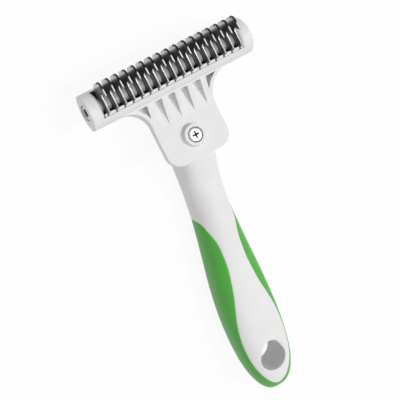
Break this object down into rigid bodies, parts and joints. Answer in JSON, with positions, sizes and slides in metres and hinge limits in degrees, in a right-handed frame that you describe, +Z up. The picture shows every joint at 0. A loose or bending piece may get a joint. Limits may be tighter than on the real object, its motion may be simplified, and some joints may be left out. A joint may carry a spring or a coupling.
{
  "type": "deshedding tool",
  "caption": "Deshedding rake for pets: stacked curved steel blades across a white T-shaped head, on a white and green soft-grip handle with a hang hole.",
  "frame": {"origin": "middle of the bottom face of the bounding box, on the plane of the flat land of the handle's back", "axes": "+X along the head, +Y along the handle from butt to head, +Z up, the way the blades face"},
  "size_m": [0.104, 0.2266, 0.0373],
  "materials": {
    "white_plastic": "satin",
    "green_rubber": "soft satin",
    "blade_steel": "dark and brushed on the faces, bright on the ground edges",
    "bright_steel": "satin",
    "grey_steel": "dull turned",
    "black_plastic": "dull"
  },
  "bodies": {
    "root": {"blade_01": "blade_steel", "blade_02": "blade_steel", "blade_03": "blade_steel", "blade_04": "blade_steel", "blade_05": "blade_steel", "blade_06": "blade_steel", "blade_07": "blade_steel", "blade_08": "blade_steel", "blade_09": "blade_steel", "blade_10": "blade_steel", "blade_11": "blade_steel", "blade_12": "blade_steel", "blade_13": "blade_steel", "blade_14": "blade_steel", "blade_15": "blade_steel", "blade_16": "blade_steel", "blade_17": "blade_steel", "blade_tray": "black_plastic", "clamp_rod": "grey_steel", "end_spacer_left": "bright_steel", "end_spacer_right": "bright_steel", "foot_comb": "white_plastic", "grip_overmould": "green_rubber", "handle_core": "white_plastic", "head_frame": "white_plastic", "neck_screw": "bright_steel", "rod_nut": "grey_steel", "spacer_01": "bright_steel", "spacer_02": "bright_steel", "spacer_03": "bright_steel", "spacer_04": "bright_steel", "spacer_05": "bright_steel", "spacer_06": "bright_steel", "spacer_07": "bright_steel", "spacer_08": "bright_steel", "spacer_09": "bright_steel", "spacer_10": "bright_steel", "spacer_11": "bright_steel", "spacer_12": "bright_steel", "spacer_13": "bright_steel", "spacer_14": "bright_steel", "spacer_15": "bright_steel", "spacer_16": "bright_steel"}
  },
  "joints": []
}
